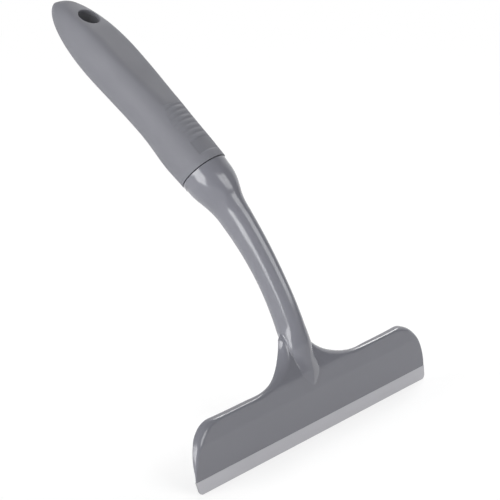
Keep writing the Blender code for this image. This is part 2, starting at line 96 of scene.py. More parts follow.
def writePoints(piece, points):
    piece.data.vertices.foreach_set("co", np.ascontiguousarray(points, dtype=np.float32).ravel())
    piece.data.update()


def placeInMesh(piece):
    choose(piece)
    bpy.ops.object.transform_apply(location=True, rotation=True, scale=True)


def applyModifier(piece, kind, **settings):
    choose(piece)
    bpy.ops.object.modifier_add(type=kind)
    change = piece.modifiers[-1]
    for key, value in settings.items():
        setattr(change, key, value)
    bpy.ops.object.modifier_apply(modifier=change.name)


def combine(piece, tool, operation):
    applyModifier(piece, 'BOOLEAN', operation=operation, solver='EXACT', object=tool)
    bpy.data.objects.remove(tool, do_unlink=True)


def joinPieces(pieces):
    choose(pieces[0])
    for piece in pieces[1:]:
        piece.select_set(True)
    bpy.ops.object.join()
    return pieces[0]


def smoothByAngle(piece, degrees):
    choose(piece)
    bpy.ops.object.shade_smooth_by_angle(angle=math.radians(degrees))


def editAll(piece):
    choose(piece)
    bpy.ops.object.mode_set(mode='EDIT')
    bpy.ops.mesh.select_mode(type='VERT')
    bpy.ops.mesh.select_all(action='SELECT')


def cutOff(piece, spot, direction, fill):
    # takes away what lies beyond a plane, on the side that direction points to
    editAll(piece)
    bpy.ops.mesh.bisect(plane_co=spot, plane_no=direction, clear_outer=True, use_fill=fill)
    bpy.ops.object.mode_set(mode='OBJECT')


def selectRim():
    bpy.ops.mesh.select_all(action='DESELECT')
    bpy.ops.mesh.select_non_manifold(extend=False, use_wire=False, use_boundary=True,
                                     use_multi_face=False, use_non_contiguous=False,
                                     use_verts=False)


def movedSelection(piece, change):
    # runs the selected points of the open mesh through a function
    bpy.ops.object.mode_set(mode='OBJECT')
    chosen = np.array([vertex.select for vertex in piece.data.vertices])
    points = readPoints(piece)
    points[chosen] = change(points[chosen])
    writePoints(piece, points)
    bpy.ops.object.mode_set(mode='EDIT')


def closeRims(piece):
    editAll(piece)
    selectRim()
    bpy.ops.mesh.edge_face_add()
    bpy.ops.mesh.select_all(action='SELECT')
    bpy.ops.mesh.normals_make_consistent(inside=False)
    bpy.ops.object.mode_set(mode='OBJECT')


def wrapGrid(name, rows, columns, shape):
    # a flat grid, wrapped into shape(column, row), which may close on itself
    deselectAll()
    bpy.ops.mesh.primitive_grid_add(x_subdivisions=columns, y_subdivisions=rows, size=1)
    piece = startPiece(name)
    flat = readPoints(piece)
    column = np.rint((flat[:, 0] + 0.5) * columns).astype(int)
    row = np.rint((flat[:, 1] + 0.5) * rows).astype(int)
    writePoints(piece, shape(column, row))
    editAll(piece)
    bpy.ops.mesh.remove_doubles(threshold=0.002 * mm)
    bpy.ops.mesh.normals_make_consistent(inside=False)
    bpy.ops.object.mode_set(mode='OBJECT')
    return piece


def inMillimetres(stations):
    return [(place * mm, size * mm) for place, size in stations]


def easeIn(value, low, high):
    share = np.clip((value - low) / (high - low), 0, 1)
    return share * share * (3 - 2 * share)


def easeThrough(value, stations):
    size = np.full(np.shape(value), stations[0][1], dtype=float)
    for (low, first), (high, second) in zip(stations, stations[1:]):
        size = np.where(value > low, first + (second - first) * easeIn(value, low, high), size)
    return size


def curveThrough(value, stations):
    # smooth curve through the (place, size) stations, level beyond its ends
    at, size = np.array(stations, dtype=float).T
    slope = np.gradient(size, at)
    slope[[0, -1]] = 0
    value = np.clip(value, at[0], at[-1])
    index = np.clip(np.searchsorted(at, value, side='right') - 1, 0, len(at) - 2)
    width = at[index + 1] - at[index]
    share = (value - at[index]) / width
    rest = 1 - share
    return ((size[index] * (1 + 2 * share) + width * slope[index] * share) * rest * rest
            + (size[index + 1] * (1 + 2 * rest) - width * slope[index + 1] * rest)
            * share * share)


def softRamp(value, reach):
    # zero, then the value itself, with a rounded corner between them
    rounded = (value + reach) ** 2 / (4 * reach)
    return np.where(value < -reach, 0.0, np.where(value > reach, value, rounded))


def softMin(first, second, reach):
    share = np.maximum(reach - np.abs(first - second), 0) / reach
    return np.minimum(first, second) - share * share * reach / 4


head = {
    "halfLength": 115 * mm,
    "bladeDrop": 8 * mm,
    "frontEdgeY": 1.1 * mm,
    "height": 30.8 * mm,
    "creaseHeight": 20.5 * mm,
    "tiltHeight": 30.3 * mm,
    "bendHeight": 34.0 * mm,
    "slopes": (0.06, 0.28, 0.50, 0.68),
    "softness": (1.2 * mm, 2.5 * mm, 3.0 * mm),
    "edgeDepth": 2.6 * mm,
    "endEdgeDepth": 1.4 * mm,
    "topDepth": [(0, 4.3), (25, 4.3), (37, 3.7), (45, 3.7), (58, 4.5), (75, 4.7), (92, 5.3),
                 (101, 6.2), (106, 6.3), (115, 6.3)],
    "webDepth": [(30.8, 0), (33, 0.8), (35.5, 1.9), (38.5, 2.7), (42, 2.9), (46.4, 2.1),
                 (51, 0.4), (53.8, -0.9), (62, -2.0)],
    "endRise": (3.4 * mm, 22.0 * mm),
    "endStraight": 2.0 * mm,
    "endCurveWidth": 23.6 * mm,
    "endFullness": 2.15,
    "filletWidth": 46.3 * mm,
    "filletHeight": 23.4 * mm,
    "filletFullness": 2.15,
    "webHalfWidth": 10.2 * mm,
    "webTop": 51.0 * mm,
    "tip": [(9.9, 0.5), (9.3, 1.1), (8.2, 1.8), (6.5, 2.4), (3.5, 2.8), (0, 2.9)],
    "frontRound": [(0, 3.4), (20, 3.4), (36, 2.4), (50, 1.6), (90, 1.6), (104, 3.4), (115, 3.4)],
    "backRound": 0.9 * mm,
    "curveSteps": 80,
    "below": 3 * mm,
}


def faceY(height):
    # front surface of the head at a height above the blade's joint line
    slopes = head["slopes"]
    levels = (head["creaseHeight"], head["tiltHeight"], head["bendHeight"])
    y = head["frontEdgeY"] + slopes[0] * height
    for level, soft, before, after in zip(levels, head["softness"], slopes, slopes[1:]):
        y = y + (after - before) * softRamp(height - level, soft)
    return y


def headDepth(x, height):
    full = curveThrough(np.abs(x), inMillimetres(head["topDepth"]))
    full = full + curveThrough(height, inMillimetres(head["webDepth"]))
    atEnd = easeIn(np.abs(x), 98 * mm, 112 * mm)
    edge = head["edgeDepth"] + (head["endEdgeDepth"] - head["edgeDepth"]) * atEnd
    low = head["endRise"][0] * atEnd
    high = head["creaseHeight"] + (head["endRise"][1] - head["creaseHeight"]) * atEnd
    share = softRamp((height - low) / (high - low), 0.08)
    share = 1 - softRamp(1 - share, 0.08)
    return edge + (full - edge) * share


def headOutline(steps):
    # right half of the head from the front, as (x, height), from bottom to top
    points = [(0.0, -head["below"]), (head["halfLength"], -head["below"])]
    power = 2 / head["endFullness"]
    for step in range(steps + 1):
        turn = math.pi / 2 * step / steps
        points.append((head["halfLength"]
                       - head["endCurveWidth"] * (1 - max(math.cos(turn), 0) ** power),
                       head["endStraight"]
                       + (head["height"] - head["endStraight"]) * math.sin(turn) ** power))
    filletX = head["webHalfWidth"] + head["filletWidth"]
    filletTop = head["height"] + head["filletHeight"]
    power = 2 / head["filletFullness"]
    for step in range(steps + 1):
        turn = math.pi / 2 * (1 - step / steps)
        points.append((filletX - head["filletWidth"] * max(math.cos(turn), 0) ** power,
                       filletTop - head["filletHeight"] * math.sin(turn) ** power))
    points = [point for point in points if point[1] < head["webTop"]]
    return points + [(x * mm, head["webTop"] + rise * mm) for x, rise in head["tip"]]


def outlineDistance(x, height, outline):
    # how far a place lies outside the outline, negative inside
    x = np.abs(x)
    nearest = np.full(len(x), 1.0)
    inside = np.zeros(len(x), bool)
    for (ax, az), (bx, bz) in zip(outline, outline[1:]):
        ex, ez = bx - ax, bz - az
        wx, wz = x - ax, height - az
        share = np.clip((wx * ex + wz * ez) / (ex * ex + ez * ez), 0, 1)
        nearest = np.minimum(nearest, (wx - ex * share) ** 2 + (wz - ez * share) ** 2)
        if ez != 0:
            inside ^= ((az > height) != (bz > height)) & (x < ex * wz / ez + ax)
    return np.where(inside, -1, 1) * np.sqrt(nearest)


spine = {
    "footHeight": 53.2 * mm,
    "footLead": 0.3 * mm,
    "footAngle": math.radians(65),
    "armBend": math.radians(23.6),
    "collarRun": 105 * mm,
    "seamRun": 112 * mm,
    "gripBend": math.radians(9.6),
    "endRun": 259 * mm,
}
armRate = spine["armBend"] / spine["collarRun"]
gripRate = spine["gripBend"] / (spine["endRun"] - spine["collarRun"])
footY = float(faceY(np.array([spine["footHeight"]]))[0]) - spine["footLead"]
footZ = spine["footHeight"] + head["bladeDrop"]
armCentre = (footY + math.sin(spine["footAngle"]) / armRate,
             footZ - math.cos(spine["footAngle"]) / armRate)
jointAngle = spine["footAngle"] - spine["armBend"]
gripCentre = (armCentre[0] - math.sin(jointAngle) / armRate + math.sin(jointAngle) / gripRate,
              armCentre[1] + math.cos(jointAngle) / armRate - math.cos(jointAngle) / gripRate)


def spineAngle(run):
    arm = spine["footAngle"] - armRate * run
    grip = jointAngle - gripRate * (run - spine["collarRun"])
    return np.where(run <= spine["collarRun"], arm, grip)


def onHandle(run, across, ahead):
    # points at a run along the handle's curved line, across it and ahead of it
    angle = spineAngle(run)
    inArm = run <= spine["collarRun"]
    reach = np.where(inArm, 1 / armRate, 1 / gripRate) + ahead
    y = np.where(inArm, armCentre[0], gripCentre[0]) - np.sin(angle) * reach
    z = np.where(inArm, armCentre[1], gripCentre[1]) + np.cos(angle) * reach
    return np.stack([np.broadcast_to(across, y.shape), y, z], axis=-1)


def alongHandle(points):
    # the run of each point, and how far ahead of the handle's line it lies
    def arc(centre, rate, startRun, startAngle):
        dy, dz = points[:, 1] - centre[0], points[:, 2] - centre[1]
        angle = np.arctan2(-dy, dz)
        return startRun + (startAngle - angle) / rate, np.hypot(dy, dz) - 1 / rate
    armRun, armAhead = arc(armCentre, armRate, 0, spine["footAngle"])
    gripRun, gripAhead = arc(gripCentre, gripRate, spine["collarRun"], jointAngle)
    inArm = armRun <= spine["collarRun"]
    return np.where(inArm, armRun, gripRun), np.where(inArm, armAhead, gripAhead)


def handleFrame(run):
    angle = float(spineAngle(np.array(run)))
    centre = Vector(onHandle(np.array([run]), np.zeros(1), np.zeros(1))[0])
    front = Vector((0, -math.sin(angle), math.cos(angle)))
    return centre, front, Vector((0, math.cos(angle), math.sin(angle)))


arm = {
    "keelRun": -34.4 * mm,
    "keelRound": 10.4 * mm,
    "centre": [(-34, 4.7), (-29, 4.8), (-24.6, 4.65), (-19.4, 3.7), (-13.4, 2.3), (-8.5, 1.3),
               (-4.6, 0.5), (0, 0), (8, 0)],
    "halfWidth": [(-30, 8.6), (-19.4, 8.8), (-13.4, 9.0), (-8.5, 9.2), (-3, 8.7), (4, 7.65),
                  (12, 7.45), (36, 7.4), (60, 7.9), (76, 8.4), (84, 9.2), (88, 10.2),
                  (92, 11.6), (96, 13.15), (100, 14.4), (104, 15.1), (108, 15.3), (112, 15.5)],
    "front": [(-30, 1.8), (-26.3, 2.1), (-18.7, 3.9), (-12.7, 6.4), (-7.6, 8.3), (0, 9.6),
              (12, 10.0), (36, 10.0), (60, 10.35), (76, 10.8), (84, 11.1), (88, 11.85),
              (92, 13.2), (96, 14.3), (100, 15.0), (104, 15.3), (108, 15.35), (112, 15.5)],
    "back": [(-34, 3), (-24, 4), (-16, 5.5), (-8, 7.6), (0, 9.6), (12, 9.6), (24, 9.2),
             (36, 9.1), (50, 9.5), (60, 10.0), (76, 11.1), (84, 11.5), (88, 11.9), (92, 12.4), (96, 13.1),
             (100, 14.0), (104, 14.75), (108, 15.1), (112, 15.4)],
    "ridge": [(-26, 1.15), (-10, 1.4), (0, 1.6), (60, 1.75), (105, 2.0)],
    "flank": [(-26, 1.1), (-16, 1.4), (-8, 1.8), (0, 2.0), (10, 2.0)],
    "filletReach": [(-26, 0.05), (-12, 0.05), (-7, 0.6), (-2, 1.2), (4, 1.2)],
    "creaseRun": -10 * mm,
    "roughSides": 64,
    "roughPitch": 2 * mm,
    "pastSeam": 2 * mm,
    "voxel": 0.6 * mm,
    "lipRound": 0.2 * mm,
    "spigotInset": 3 * mm,
}


def armSizes(run):
    # centre's lead over the handle's line, half width, front and back height, ridge
    sizes = [curveThrough(run, inMillimetres(arm[key]))
             for key in ("centre", "halfWidth", "front", "back")]
    short = np.clip((arm["keelRun"] + arm["keelRound"] - run) / arm["keelRound"], 0, 1)
    tip = np.maximum(1 - short ** 1.7, 0.02)
    ridge, flank = (easeThrough(run, [(at * mm, fullness) for at, fullness in arm[key]])
                    for key in ("ridge", "flank"))
    return sizes[0], sizes[1] * tip, sizes[2] * tip, sizes[3], ridge, flank


def armDistance(points):
    run, ahead = alongHandle(points)
    centre, halfWidth, front, back, ridge, flank = armSizes(run)
    ahead = ahead - centre
    depth = np.where(ahead > 0, front, back)
    power = np.where(ahead > 0, ridge, 2.0)
    lift = np.where(ahead > 0, flank, 2.0)
    u = np.maximum(np.abs(points[:, 0]) / halfWidth, 1e-6)
    v = np.maximum(np.abs(ahead) / depth, 1e-6)
    slope = np.hypot(power * u ** (power - 1) / halfWidth, lift * v ** (lift - 1) / depth)
    side = (u ** power + v ** lift - 1) / np.maximum(slope, 1 / depth)
    return np.maximum(side, arm["keelRun"] - run), run


coarseOutline = headOutline(16)
fineOutline = headOutline(head["curveSteps"])


def plateDistance(points):
    x, y, height = points[:, 0], points[:, 1], points[:, 2] - head["bladeDrop"]
    rim = outlineDistance(x, height, coarseOutline)
    near = np.abs(rim) < 4 * mm
    rim[near] = outlineDistance(x[near], height[near], fineOutline)
    step = 0.1 * mm
    face = faceY(height)
    slope = (faceY(height + step) - face) / step
    flat = 1 / np.sqrt(1 + slope * slope)
    ahead = (face - y) * flat
    behind = (y - face - headDepth(x, height)) * flat
    flatSide = np.maximum(ahead, behind)
    rounding = curveThrough(np.abs(x), inMillimetres(head["frontRound"]))
    rounding = np.minimum(rounding, 0.45 * headDepth(x, height))
    radius = np.where(ahead > behind, rounding, head["backRound"])
    outer = np.hypot(np.maximum(rim + radius, 0), np.maximum(flatSide + radius, 0))
    return np.minimum(np.maximum(rim, flatSide) + radius, 0) + outer - radius


def mouldingDistance(points):
    plate = plateDistance(points)
    handle, run = armDistance(points)
    reach = easeThrough(run, inMillimetres(arm["filletReach"]))
    share = np.clip(0.5 + 0.5 * (handle - plate) / reach, 0, 1)
    return handle + (plate - handle) * share - reach * share * (1 - share)


def slopeOf(field, points, value):
    step = 0.01 * mm
    return np.stack([(field(points + step * axis) - value) / step for axis in np.eye(3)], 1)


def settleOn(field, points, rounds):
    # slides each point onto the surface where the field is zero
    for _ in range(rounds):
        value = field(points)
        slope = slopeOf(field, points, value)
        move = value / np.maximum((slope ** 2).sum(1), 0.2)
        points = points - np.clip(move, -mm, mm)[:, None] * slope
    return points


def handleDistance(points):
    return armDistance(points)[0]


def snapToCrease(points):
    # points close to the sharp line between keel and plate are moved onto it
    near = np.where((alongHandle(points)[0] < arm["creaseRun"])
                    & (np.abs(plateDistance(points)) < 0.5 * arm["voxel"])
                    & (np.abs(handleDistance(points)) < 0.5 * arm["voxel"]))[0]
    for _ in range(3):
        place = points[near]
        plate, keel = plateDistance(place), handleDistance(place)
        plateSlope = slopeOf(plateDistance, place, plate)
        keelSlope = slopeOf(handleDistance, place, keel)
        a, b, c = ((first * second).sum(1) for first, second in
                   ((plateSlope, plateSlope), (plateSlope, keelSlope), (keelSlope, keelSlope)))
        room = a * c - b * b
        clear = room > 0.25 * a * c
        byPlate, byKeel = (c * plate - b * keel) / room, (a * keel - b * plate) / room
        move = byPlate[:, None] * plateSlope + byKeel[:, None] * keelSlope
        points[near[clear]] -= np.clip(move[clear], -0.5 * mm, 0.5 * mm)
    return points


def makeRoughPlate():
    outline = headOutline(24)[1:-1]
    outline = outline + [(-x, height) for x, height in reversed(outline)]
    deselectAll()
    bpy.ops.mesh.primitive_circle_add(vertices=len(outline), radius=1, fill_type='NGON')
    plate = startPiece("plateBlank")
    writePoints(plate, np.array([(x, 0, height) for x, height in outline]))
    editAll(plate)
    for level in (8, 14, 20.5, 26, 30.3, 34, 40, 48, 54):
        bpy.ops.mesh.select_all(action='SELECT')
        bpy.ops.mesh.bisect(plane_co=(0, 0, level * mm), plane_no=(0, 0, 1))
    bpy.ops.mesh.select_all(action='SELECT')
    bpy.ops.mesh.extrude_region_move(TRANSFORM_OT_translate={"value": (0, 1 * mm, 0)})
    bpy.ops.object.mode_set(mode='OBJECT')
    points = readPoints(plate)
    back = points[:, 1] > 0.5 * mm
    points[:, 1] = faceY(points[:, 2]) + back * headDepth(points[:, 0], points[:, 2])
    points[:, 2] += head["bladeDrop"]
    writePoints(plate, points)
    editAll(plate)
    bpy.ops.mesh.normals_make_consistent(inside=False)
    bpy.ops.object.mode_set(mode='OBJECT')
    return plate


def armRing(run, sides):
    turn = np.arange(sides) * 2 * np.pi / sides
    centre, halfWidth, front, back, ridge, flank = armSizes(np.full(sides, run))
    ahead = np.sin(turn) > 0
    power = 2 / np.where(ahead, ridge, 2.0)
    rise = 2 / np.where(ahead, flank, 2.0)
    across = halfWidth * np.sign(np.cos(turn)) * np.abs(np.cos(turn)) ** power
    lift = (np.where(ahead, front, back) * np.sign(np.sin(turn))
            * np.abs(np.sin(turn)) ** rise)
    return onHandle(np.full(sides, run), across, centre + lift)


def makeRoughArm():
    # a circle, extruded ring by ring along the handle's line
    sides = arm["roughSides"]
    endRun = spine["seamRun"] + arm["pastSeam"]
    count = int(round((endRun - arm["keelRun"]) / arm["roughPitch"]))
    runs = np.linspace(arm["keelRun"], endRun, count + 1)

    def shape(column, row):
        rings = np.array([armRing(run, sides) for run in runs])
        return rings[row, column % sides]
    armPiece = wrapGrid("armBlank", count, sides, shape)
    closeRims(armPiece)
    return armPiece


pocket = {
    "skinWall": 2.2 * mm,
    "rimWall": 2.4 * mm,
    "ribWall": 1.8 * mm,
    "width": 20 * mm,
    "floorHeight": 13.5 * mm,
    "innerX": 27 * mm,
    "count": 3,
    "cornerRound": 2.2 * mm,
    "depth": 12 * mm,
}


def rimHeightAt(x):
    beyond = max(0, x - (head["halfLength"] - head["endCurveWidth"])) / head["endCurveWidth"]
    return head["endStraight"] + ((head["height"] - head["endStraight"])
                                  * math.sqrt(max(0, 1 - beyond * beyond)))


def makePocketTool(side, low):
    # a slab with round corners, whose front follows the face of the head
    high = low + pocket["width"]
    top = [rimHeightAt(x) - pocket["rimWall"] for x in (low, high)]
    deselectAll()
    bpy.ops.mesh.primitive_cube_add(size=2)
    tool = startPiece("pocketTool")
    points = readPoints(tool)
    atHigh, atTop = points[:, 0] > 0, points[:, 2] > 0
    topHeight = np.where(atHigh, top[1], top[0])
    shaped = np.stack([side * np.where(atHigh, high, low),
                       np.where(points[:, 1] > 0, pocket["depth"], 0),
                       np.where(atTop, topHeight, pocket["floorHeight"])], 1)
    writePoints(tool, shaped)
    editAll(tool)
    bpy.ops.mesh.select_mode(type='EDGE')
    bpy.ops.mesh.select_all(action='DESELECT')
    bpy.ops.object.mode_set(mode='OBJECT')
    for edge in tool.data.edges:
        first, second = (tool.data.vertices[index].co for index in edge.vertices)
        edge.select = abs(first.y - second.y) > mm
    bpy.ops.object.mode_set(mode='EDIT')
    bpy.ops.mesh.bevel(offset=pocket["cornerRound"], segments=6, affect='EDGES')
    for level in (16, 19.5, 20.5, 21.5, 25):
        bpy.ops.mesh.select_all(action='SELECT')
        bpy.ops.mesh.bisect(plane_co=(0, 0, level * mm), plane_no=(0, 0, 1))
    bpy.ops.object.mode_set(mode='OBJECT')
    points = readPoints(tool)
    atFront = points[:, 1] < mm
    points[:, 1] += faceY(points[:, 2]) + atFront * pocket["skinWall"]
    points[:, 2] += head["bladeDrop"]
    writePoints(tool, points)
    editAll(tool)
    bpy.ops.mesh.normals_make_consistent(inside=False)
    bpy.ops.object.mode_set(mode='OBJECT')
    return tool


blade = {
    "thickness": 2.2 * mm,
    "lipThickness": 1.0 * mm,
    "cornerRadius": 3.0 * mm,
    "shortening": 1.1 * mm,
    "tongueThickness": 0.7 * mm,
    "tongueHeight": 8.5 * mm,
    "beadRadius": 0.9 * mm,
    "grooveGap": 0.3 * mm,
    "jointGap": 0.05 * mm,
    "grooveReach": 104.0 * mm,
    "tongueReach": 103.7 * mm,
    "endThinning": 0.42,
    "lean": 2.4 * mm,
    "lipRound": 0.12 * mm,
    "rows": 18,
    "columns": 115,
}


def keyhole(halfThickness, beadRadius, startDown, steps):
    # outline of the tongue and its bead, from the front foot round to the back foot
    foot = Vector((0, blade["lean"], head["bladeDrop"]))
    middle = np.array([blade["tongueHeight"]])
    beadY = float(faceY(middle)[0] + headDepth(np.zeros(1), middle)[0] / 2)
    bead = Vector((0, beadY, head["bladeDrop"] + blade["tongueHeight"]))
    up = (bead - foot).normalized()
    front = Vector((0, -up.z, up.y))
    openAngle = math.asin(halfThickness / beadRadius)
    points = [foot + front * halfThickness + up * startDown]
    for step in range(steps + 1):
        turn = openAngle + (2 * math.pi - 2 * openAngle) * step / steps
        points.append(bead + front * beadRadius * math.sin(turn)
                      - up * beadRadius * math.cos(turn))
    points.append(foot - front * halfThickness + up * startDown)
    return points


def bladeProfile():
    # closed outline of the strip in the plane x = 0, in fine rows below the head
    top = head["bladeDrop"] - blade["jointGap"]
    half, lip, edge = blade["thickness"] / 2, blade["lipThickness"] / 2, blade["lipRound"]
    frontTop = Vector((0, blade["lean"] - half - 0.2 * mm, top))
    backTop = Vector((0, blade["lean"] + half - 0.2 * mm, top))
    frontLow, backLow = Vector((0, -lip, edge)), Vector((0, lip, edge))
    rows = blade["rows"]
    points = [frontLow.lerp(frontTop, step / rows) for step in range(rows + 1)]
    points += keyhole(blade["tongueThickness"] / 2, blade["beadRadius"], 0, 20)
    points += [backTop.lerp(backLow, step / rows) for step in range(rows + 1)]
    points += [Vector((0, lip - edge, 0)), Vector((0, edge - lip, 0))]
    return points


def frontOfBlade(z):
    share = max(0, min(1, z / (head["bladeDrop"] - blade["jointGap"])))
    top = blade["lean"] - blade["thickness"] / 2 - 0.2 * mm
    return -blade["lipThickness"] / 2 + share * (top + blade["lipThickness"] / 2)


def bladeHalfLength(z):
    if z > head["bladeDrop"]:
        return blade["tongueReach"]
    low = max(blade["cornerRadius"] - z, 0)
    corner = blade["cornerRadius"] - math.sqrt(blade["cornerRadius"] ** 2 - low * low)
    lean = blade["shortening"] * (1 - z / head["bladeDrop"])
    return head["halfLength"] - lean - corner


def makeBlade():
    profile = bladeProfile()
    count, columns = len(profile), blade["columns"]

    def shape(column, row):
        place = [profile[index % count] for index in range(count + 1)]
        y = np.array([point.y for point in place])[row]
        z = np.array([point.z for point in place])[row]
        half = np.array([bladeHalfLength(point.z) for point in place])[row]
        x = (2 * column / columns - 1) * half
        front = np.array([frontOfBlade(point.z) for point in place])[row]
        thinner = blade["endThinning"] * easeIn(np.abs(x), 98 * mm, 112 * mm)
        y = np.where(z < head["bladeDrop"], front + (y - front) * (1 - thinner), y)
        return np.stack([x, y, z], 1)
    strip = wrapGrid("blade", count, columns, shape)
    closeRims(strip)
    smoothByAngle(strip, 40)
    return strip


def makeGrooveTool():
    outline = keyhole(blade["tongueThickness"] / 2 + blade["grooveGap"],
                      blade["beadRadius"] + blade["grooveGap"], -2.6 * mm, 24)
    count = len(outline)

    def shape(column, row):
        y = np.array([point.y for point in outline])[row % count]
        z = np.array([point.z for point in outline])[row % count]
        return np.stack([(2 * column - 1) * blade["grooveReach"], y, z], 1)
    tool = wrapGrid("grooveTool", count, 1, shape)
    closeRims(tool)
    return tool


grip = {
    "mouthRun": 112.45 * mm,
    "tailRun": 204 * mm,
    "tailLength": 54.75 * mm,
    "radius": [(112, 16.0), (128, 16.35), (148, 15.85), (165, 15.95), (185, 16.6), (204, 17.0)],
    "panelRun": 155 * mm,
    "panelRunOut": 0.15,
    "panelHeight": [(155, 14.5), (175, 13.7), (195, 13.4), (212, 13.3), (222, 12.9),
                    (230, 12.0), (238, 10.8), (246, 9.3), (253, 6.6), (259, 0), (265, -14)],
    "setBack": [(112, -0.2), (120, 0.2), (132, 0.6), (142, 0.3), (154, -0.1), (165, 0)],
    "panelRound": [(155, 1.6), (225, 2.6)],
    "stepSoft": 0.5 * mm,
    "stepCurve": 6 * mm,
    "columns": 240,
    "lipRound": 0.2 * mm,
    "skinWall": 2.2 * mm,
    "coreInset": 2.5 * mm,
    "cavityInset": 5.0 * mm,
    "cavityEnd": 206.1 * mm,
    "ledgeRun": 166 * mm,
    "ledgeLength": 3 * mm,
    "ledgeRadius": 6.5 * mm,
}
ribs = {
    "run": 142 * mm,
    "halfLength": 17.5 * mm,
    "halfWidth": 10.8 * mm,
    "count": 7,
    "pitch": 3.6 * mm,
    "width": 2.3 * mm,
    "depth": 0.34 * mm,
    "endSoft": 1.6 * mm,
    "patchStart": 117.5 * mm,
    "patchEnd": 128.6 * mm,
    "patchHalfWidth": 9.4 * mm,
    "patchDepth": 0.4 * mm,
    "patchSoft": 1.2 * mm,
}
hole = {
    "run": 233.4 * mm,
    "radius": 7.0 * mm,
    "rimRound": 0.4 * mm,
    "sides": 128,
}


def gripRadius(run, inset):
    straight = curveThrough(run, inMillimetres(grip["radius"])) - inset
    share = np.clip((run - grip["tailRun"]) / (grip["tailLength"] - inset), 0, 1)
    tail = (grip["radius"][-1][1] * mm - inset) * np.sqrt(1 - share * share)
    return np.where(run <= grip["tailRun"], straight, tail)


def panelHeight(run):
    runOut = grip["panelRunOut"] * np.maximum(grip["panelRun"] - run, 0)
    return curveThrough(run, inMillimetres(grip["panelHeight"])) + runOut


def patchShare(run, across):
    # one on the smooth patch below the ribs, zero outside it
    inside = np.minimum(np.minimum(run - ribs["patchStart"], ribs["patchEnd"] - run),
                        ribs["patchHalfWidth"] - np.abs(across))
    return easeIn(inside, 0, ribs["patchSoft"])


def carveDepth(run, across):
    # grooves between the thumb ribs, and the smooth patch below them
    along = np.clip(np.abs(run - ribs["run"]) / ribs["halfLength"], 0, 1)
    reach = ribs["halfWidth"] * np.sqrt(1 - along * along) - np.abs(across)
    ends = easeIn(reach, 0, ribs["endSoft"])
    depth = np.zeros(np.shape(run))
    for index in range(ribs["count"]):
        middle = ribs["run"] + (index - (ribs["count"] - 1) / 2) * ribs["pitch"]
        wave = np.clip(1 - ((run - middle) / (ribs["width"] / 2)) ** 2, 0, 1)
        depth = np.maximum(depth, ribs["depth"] * wave * ends)
    return np.maximum(depth, ribs["patchDepth"] * patchShare(run, across))


def gripPoints(run, turn, inset, dressed):
    # dressed is true on the outside, which has the panel's step, the ribs and the hole's rim
    radius = gripRadius(run, inset)
    across, ahead = radius * np.cos(turn), radius * np.sin(turn)
    height = panelHeight(run) - inset
    panelRound = easeThrough(run, inMillimetres(grip["panelRound"]))
    panelRound = np.clip(height, 0.01 * mm, panelRound)
    flat = np.where(ahead > 0, softMin(ahead, height, panelRound), ahead)
    setBack = curveThrough(run, inMillimetres(grip["setBack"]))
    if not dressed:
        return onHandle(run, across, flat - setBack)
    stepRun = grip["panelRun"] + grip["stepCurve"] * np.clip(np.abs(across) / (14 * mm), 0, 1) ** 4
    ahead = ahead + (flat - ahead) * easeIn(run, stepRun, stepRun + grip["stepSoft"])
    depth = np.where(ahead > 0, carveDepth(run, across), 0)
    across, ahead = across - depth * np.cos(turn), ahead - depth * np.sin(turn)
    ahead = ahead - setBack
    points = onHandle(run, across, ahead)
    centre, front, tangent = handleFrame(hole["run"])
    offset = points - np.array(centre)
    away = np.hypot(offset[:, 0], offset @ np.array(tangent)) - hole["radius"]
    rise = np.clip(1 - np.maximum(away, 0) / hole["rimRound"], 0, 1)
    drop = hole["rimRound"] * (1 - np.sqrt(1 - rise * rise))
    return onHandle(run, across, ahead - drop * np.sign(ahead))


def spread(low, high, pitch):
    return list(np.linspace(low, high, max(2, int(math.ceil((high - low) / pitch)) + 1)))


def tailRuns(inset, steps):
    reach = grip["tailLength"] - inset
    return [grip["tailRun"] + reach * math.sin(math.pi / 2 * step / steps)
            for step in range(1, steps + 1)]


def makeShell(name, outerRows, innerRows, dressed):
    # rows of (run, inset) from the tail down the outside and up the inside to its end
    rows = np.array(outerRows[::-1] + innerRows)
    outerCount, columns = len(outerRows), grip["columns"]

    def shape(column, row):
        run, inset = rows[row, 0], rows[row, 1]
        turn = 2 * np.pi * (column % columns) / columns
        outside = row < outerCount
        points = np.empty((len(row), 3))
        for side, finish in ((outside, dressed), (~outside, False)):
            limited = gripPoints(run[side], turn[side], inset[side], finish)
            points[side] = limited
        return points
    shell = wrapGrid(name, len(rows) - 1, columns, shape)
    return shell


def makeBoreTool(name):
    centre, front, tangent = handleFrame(hole["run"])
    deselectAll()
    bpy.ops.mesh.primitive_cylinder_add(vertices=hole["sides"], radius=hole["radius"],
                                        depth=60 * mm)
    tool = startPiece(name)
    turned = Matrix((sideways, tangent, front)).transposed().to_4x4()
    tool.matrix_world = Matrix.Translation(centre) @ turned
    placeInMesh(tool)
    editAll(tool)
    bpy.ops.mesh.normals_make_consistent(inside=False)
    bpy.ops.object.mode_set(mode='OBJECT')
    return tool


